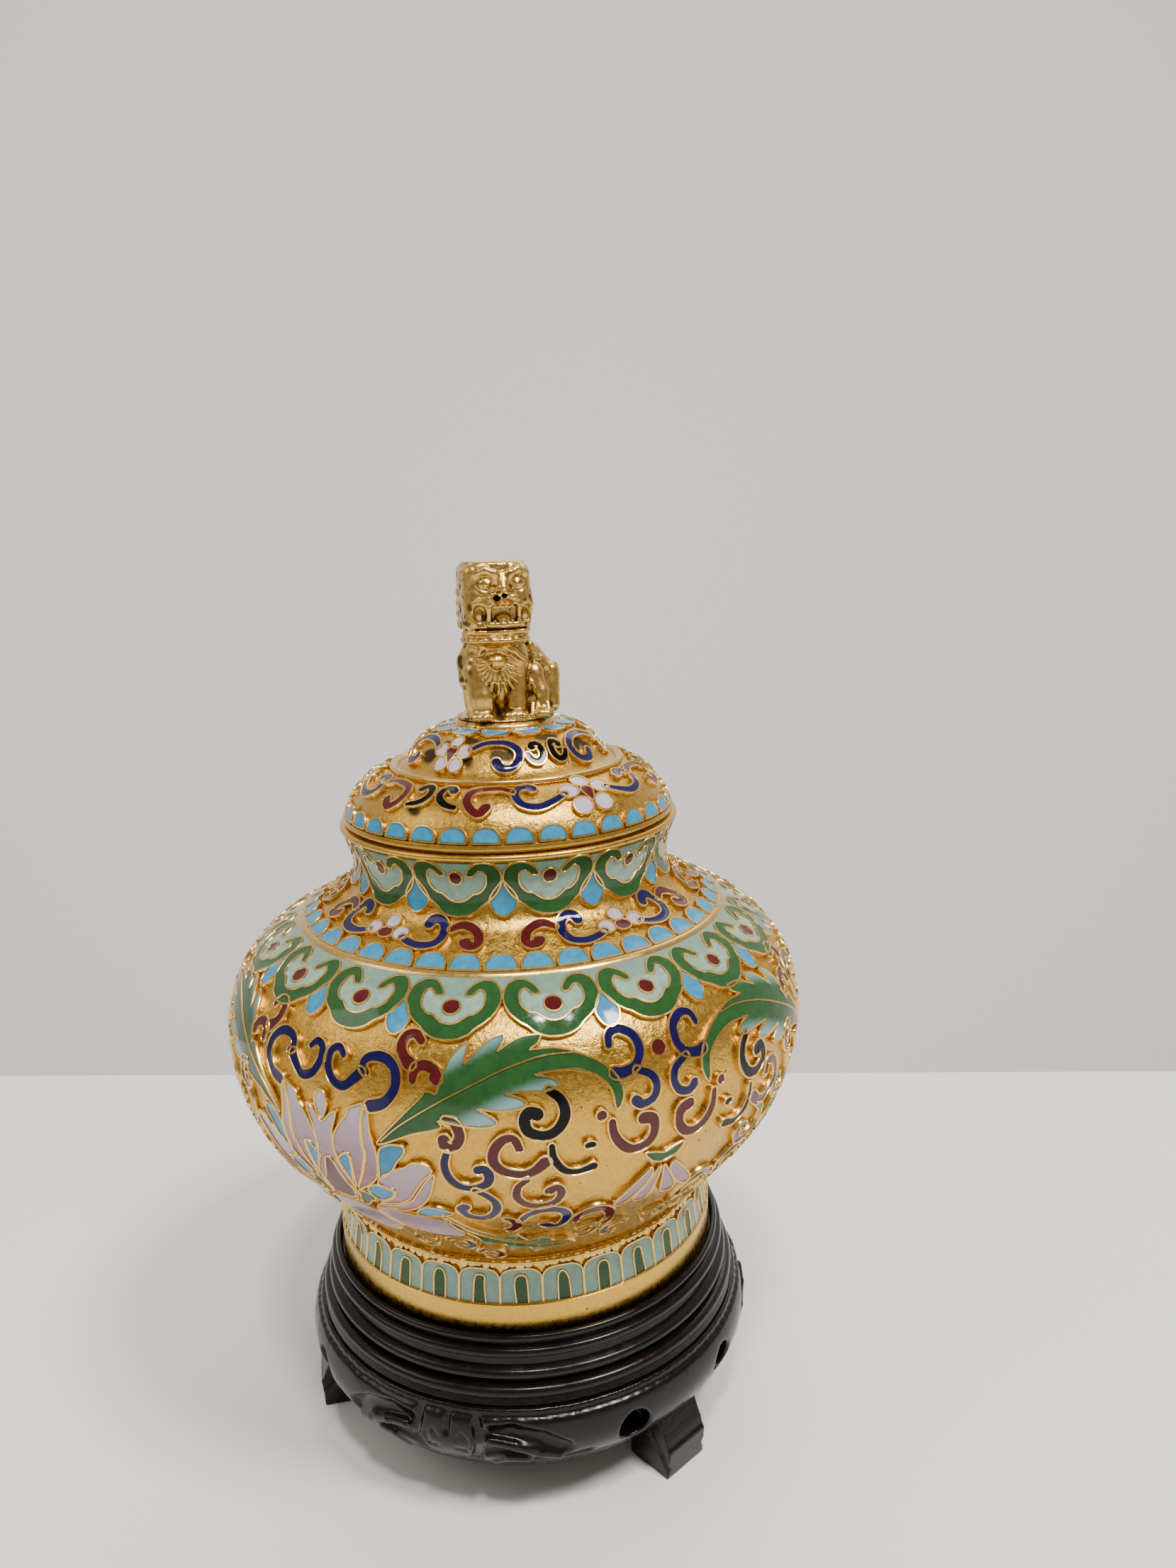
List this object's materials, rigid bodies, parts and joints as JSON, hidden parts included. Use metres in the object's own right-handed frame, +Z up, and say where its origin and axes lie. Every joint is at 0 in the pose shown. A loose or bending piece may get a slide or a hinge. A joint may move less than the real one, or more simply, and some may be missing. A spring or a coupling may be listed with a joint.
{
  "type": "lidded cloisonne jar on a stand",
  "caption": "Baluster-shaped lidded jar with raised enamel cells on a gilt ground, a lion knob on the lid, and a carved three-footed wooden stand.",
  "frame": {"origin": "centre of the stand's footprint, on the surface that it stands on", "axes": "+Z up through the middle of the stand, jar and knob; -Y is the front, where the lion looks"},
  "size_m": [0.0922, 0.0922, 0.1398],
  "materials": {
    "lacquered_wood": "near-black glossy lacquer, light wood at worn edges",
    "gilt_copper": "gilt, stippled ground, soft gloss",
    "aged_gilt_bronze": "cast, worn gilding with dark patina",
    "turquoise_enamel": "fired enamel, gloss",
    "green_enamel": "fired enamel, gloss",
    "celadon_enamel": "fired enamel, gloss",
    "burgundy_enamel": "fired enamel, gloss",
    "cobalt_enamel": "fired enamel, gloss",
    "lilac_enamel": "fired enamel, gloss",
    "black_enamel": "fired enamel, gloss"
  },
  "bodies": {
    "stand": {"stand_top_ring": "lacquered_wood", "stand_seat_board": "lacquered_wood", "stand_apron": "lacquered_wood", "stand_foot_right": "lacquered_wood", "stand_foot_back": "lacquered_wood", "stand_foot_left": "lacquered_wood"},
    "vase": {"body_shell": "gilt_copper", "foot_ring": "gilt_copper", "base_disc": "gilt_copper", "mouth_ring": "gilt_copper", "lining_enamel": "turquoise_enamel", "base_enamel": "turquoise_enamel", "foot_petals": "celadon_enamel", "foot_petal_cores": "green_enamel", "foot_wire_ring": "gilt_copper", "neck_ground_enamel": "celadon_enamel", "neck_lappets": "green_enamel", "neck_drops": "turquoise_enamel", "shoulder_flowers": "lilac_enamel", "shoulder_cobalt_scrolls": "cobalt_enamel", "shoulder_burgundy_scrolls": "burgundy_enamel", "shoulder_scales": "turquoise_enamel", "shoulder_wire_ring": "gilt_copper", "collar_ground_enamel": "celadon_enamel", "collar_lappets": "green_enamel", "collar_drops": "turquoise_enamel", "belly_lotuses": "lilac_enamel", "belly_leaves": "green_enamel", "belly_cobalt_scrolls": "cobalt_enamel", "belly_burgundy_scrolls": "burgundy_enamel", "belly_black_scrolls": "black_enamel"},
    "lid": {"lid_shell": "gilt_copper", "lid_rim_band": "gilt_copper", "lid_flange": "gilt_copper", "lid_lining": "turquoise_enamel", "lid_step_ring": "gilt_copper", "lid_scales": "turquoise_enamel", "lid_flowers": "lilac_enamel", "lid_cobalt_scrolls": "cobalt_enamel", "lid_burgundy_scrolls": "burgundy_enamel", "lid_black_scrolls": "black_enamel", "crown_scales": "turquoise_enamel", "lion": "aged_gilt_bronze", "lion_plinth": "gilt_copper", "finial_stud": "gilt_copper", "finial_washer": "gilt_copper", "finial_nut": "gilt_copper"}
  },
  "joints": [
    {"name": "vase_lift", "type": "slide", "parent": "stand", "child": "vase", "axis": [0, 0, 1], "range_m": [0, 0.03]},
    {"name": "lid_lift", "type": "slide", "parent": "vase", "child": "lid", "axis": [0, 0, 1], "range_m": [0, 0.03]}
  ]
}
